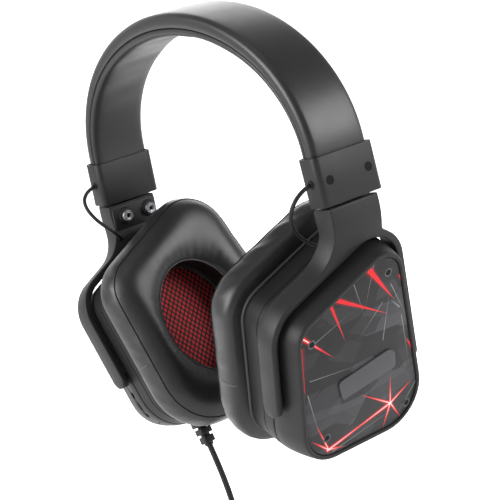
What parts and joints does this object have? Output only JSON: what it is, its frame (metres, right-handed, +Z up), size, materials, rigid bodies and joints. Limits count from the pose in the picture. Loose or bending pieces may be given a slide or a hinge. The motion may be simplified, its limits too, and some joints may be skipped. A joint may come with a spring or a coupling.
{
  "type": "gaming headset",
  "caption": "Wired over-ear headset with a padded arched headband, sliding yokes, tilting angular ear cups with leatherette cushions, a volume wheel and a tied cord.",
  "frame": {"origin": "crown of the head pad's inner face, midway between the cups, where a head or a stand carries the headset", "axes": "+Z up, +Y the way the wearer faces, +X to the wearer's right"},
  "size_m": [0.2108, 0.1041, 0.362],
  "materials": {
    "band_leatherette": "satin",
    "pad_leatherette": "satin",
    "spring_steel": "brushed",
    "sleeve_plastic": "matte",
    "inner_plastic": "matte",
    "black_screws": "satin",
    "cord_rubber": "matte",
    "yoke_plastic": "matte",
    "clamp_plastic": "matte",
    "rivet_steel": "polished",
    "pin_steel": "satin",
    "housing_plastic": "matte",
    "printed_plate": "satin print",
    "badge_plastic": "satin",
    "magnet_steel": "satin",
    "diaphragm_film": "glossy",
    "mesh_cloth": "woven mesh",
    "lip_plastic": "satin",
    "ear_leatherette": "satin",
    "wheel_plastic": "ribbed",
    "board": "solder mask",
    "tie_plastic": "matte",
    "plug_plastic": "matte",
    "gold": "polished"
  },
  "bodies": {
    "headband": {"band_cover": "band_leatherette", "band_spring": "spring_steel", "band_pad": "pad_leatherette", "sleeve_right": "sleeve_plastic", "sleeve_left": "sleeve_plastic", "slider_guide_right": "inner_plastic", "slider_guide_left": "inner_plastic", "sleeve_screws_right": "black_screws", "sleeve_screws_left": "black_screws", "link_wire_right": "cord_rubber", "link_wire_left": "cord_rubber"},
    "yoke_right": {"slider_strip_right": "spring_steel", "yoke_right": "yoke_plastic", "clamp_plate_right": "clamp_plastic", "clamp_rivets_right": "rivet_steel", "pivot_pins_right": "pin_steel"},
    "yoke_left": {"slider_strip_left": "spring_steel", "yoke_left": "yoke_plastic", "clamp_plate_left": "clamp_plastic", "clamp_rivets_left": "rivet_steel", "pivot_pins_left": "pin_steel"},
    "cup_right": {"outer_housing_right": "housing_plastic", "cover_plate_right": "printed_plate", "cover_badge_right": "badge_plastic", "cover_screws_right": "black_screws", "inner_housing_right": "housing_plastic", "speaker_frame_right": "inner_plastic", "speaker_magnet_right": "magnet_steel", "speaker_diaphragm_right": "diaphragm_film", "speaker_cloth_right": "mesh_cloth", "cushion_ring_right": "lip_plastic", "ear_cushion_right": "ear_leatherette"},
    "cup_left": {"outer_housing_left": "housing_plastic", "cover_plate_left": "printed_plate", "cover_badge_left": "badge_plastic", "cover_screws_left": "black_screws", "inner_housing_left": "housing_plastic", "speaker_frame_left": "inner_plastic", "speaker_magnet_left": "magnet_steel", "speaker_diaphragm_left": "diaphragm_film", "speaker_cloth_left": "mesh_cloth", "cushion_ring_left": "lip_plastic", "ear_cushion_left": "ear_leatherette", "volume_potentiometer": "pin_steel", "circuit_board": "board", "mic_socket": "inner_plastic", "mic_grommet": "cord_rubber", "strain_relief": "cord_rubber", "cord": "cord_rubber", "cord_coil": "cord_rubber", "cord_tie": "tie_plastic", "plug_body": "plug_plastic", "plug_pin": "gold"},
    "wheel": {"volume_wheel": "wheel_plastic"}
  },
  "joints": [
    {"name": "slider_right", "type": "slide", "parent": "headband", "child": "yoke_right", "axis": [0.0471, 0, -0.9989], "range_m": [0, 0.028], "deforming": ["link_wire_right"]},
    {"name": "slider_left", "type": "slide", "parent": "headband", "child": "yoke_left", "axis": [-0.0471, 0, -0.9989], "range_m": [0, 0.028], "deforming": ["link_wire_left"]},
    {"name": "cup_tilt_right", "type": "hinge", "parent": "yoke_right", "child": "cup_right", "pos_m": [0.06859, 0, -0.17689], "axis": [0, 1, 0], "range_deg": [-15, 8]},
    {"name": "cup_tilt_left", "type": "hinge", "parent": "yoke_left", "child": "cup_left", "pos_m": [-0.06859, 0, -0.17689], "axis": [0, -1, 0], "range_deg": [-15, 8]},
    {"name": "volume_turn", "type": "hinge", "parent": "cup_left", "child": "wheel", "pos_m": [-0.06804, -0.0342, -0.19361], "axis": [-0.9397, 0, -0.342], "range_deg": [-135, 135]}
  ]
}
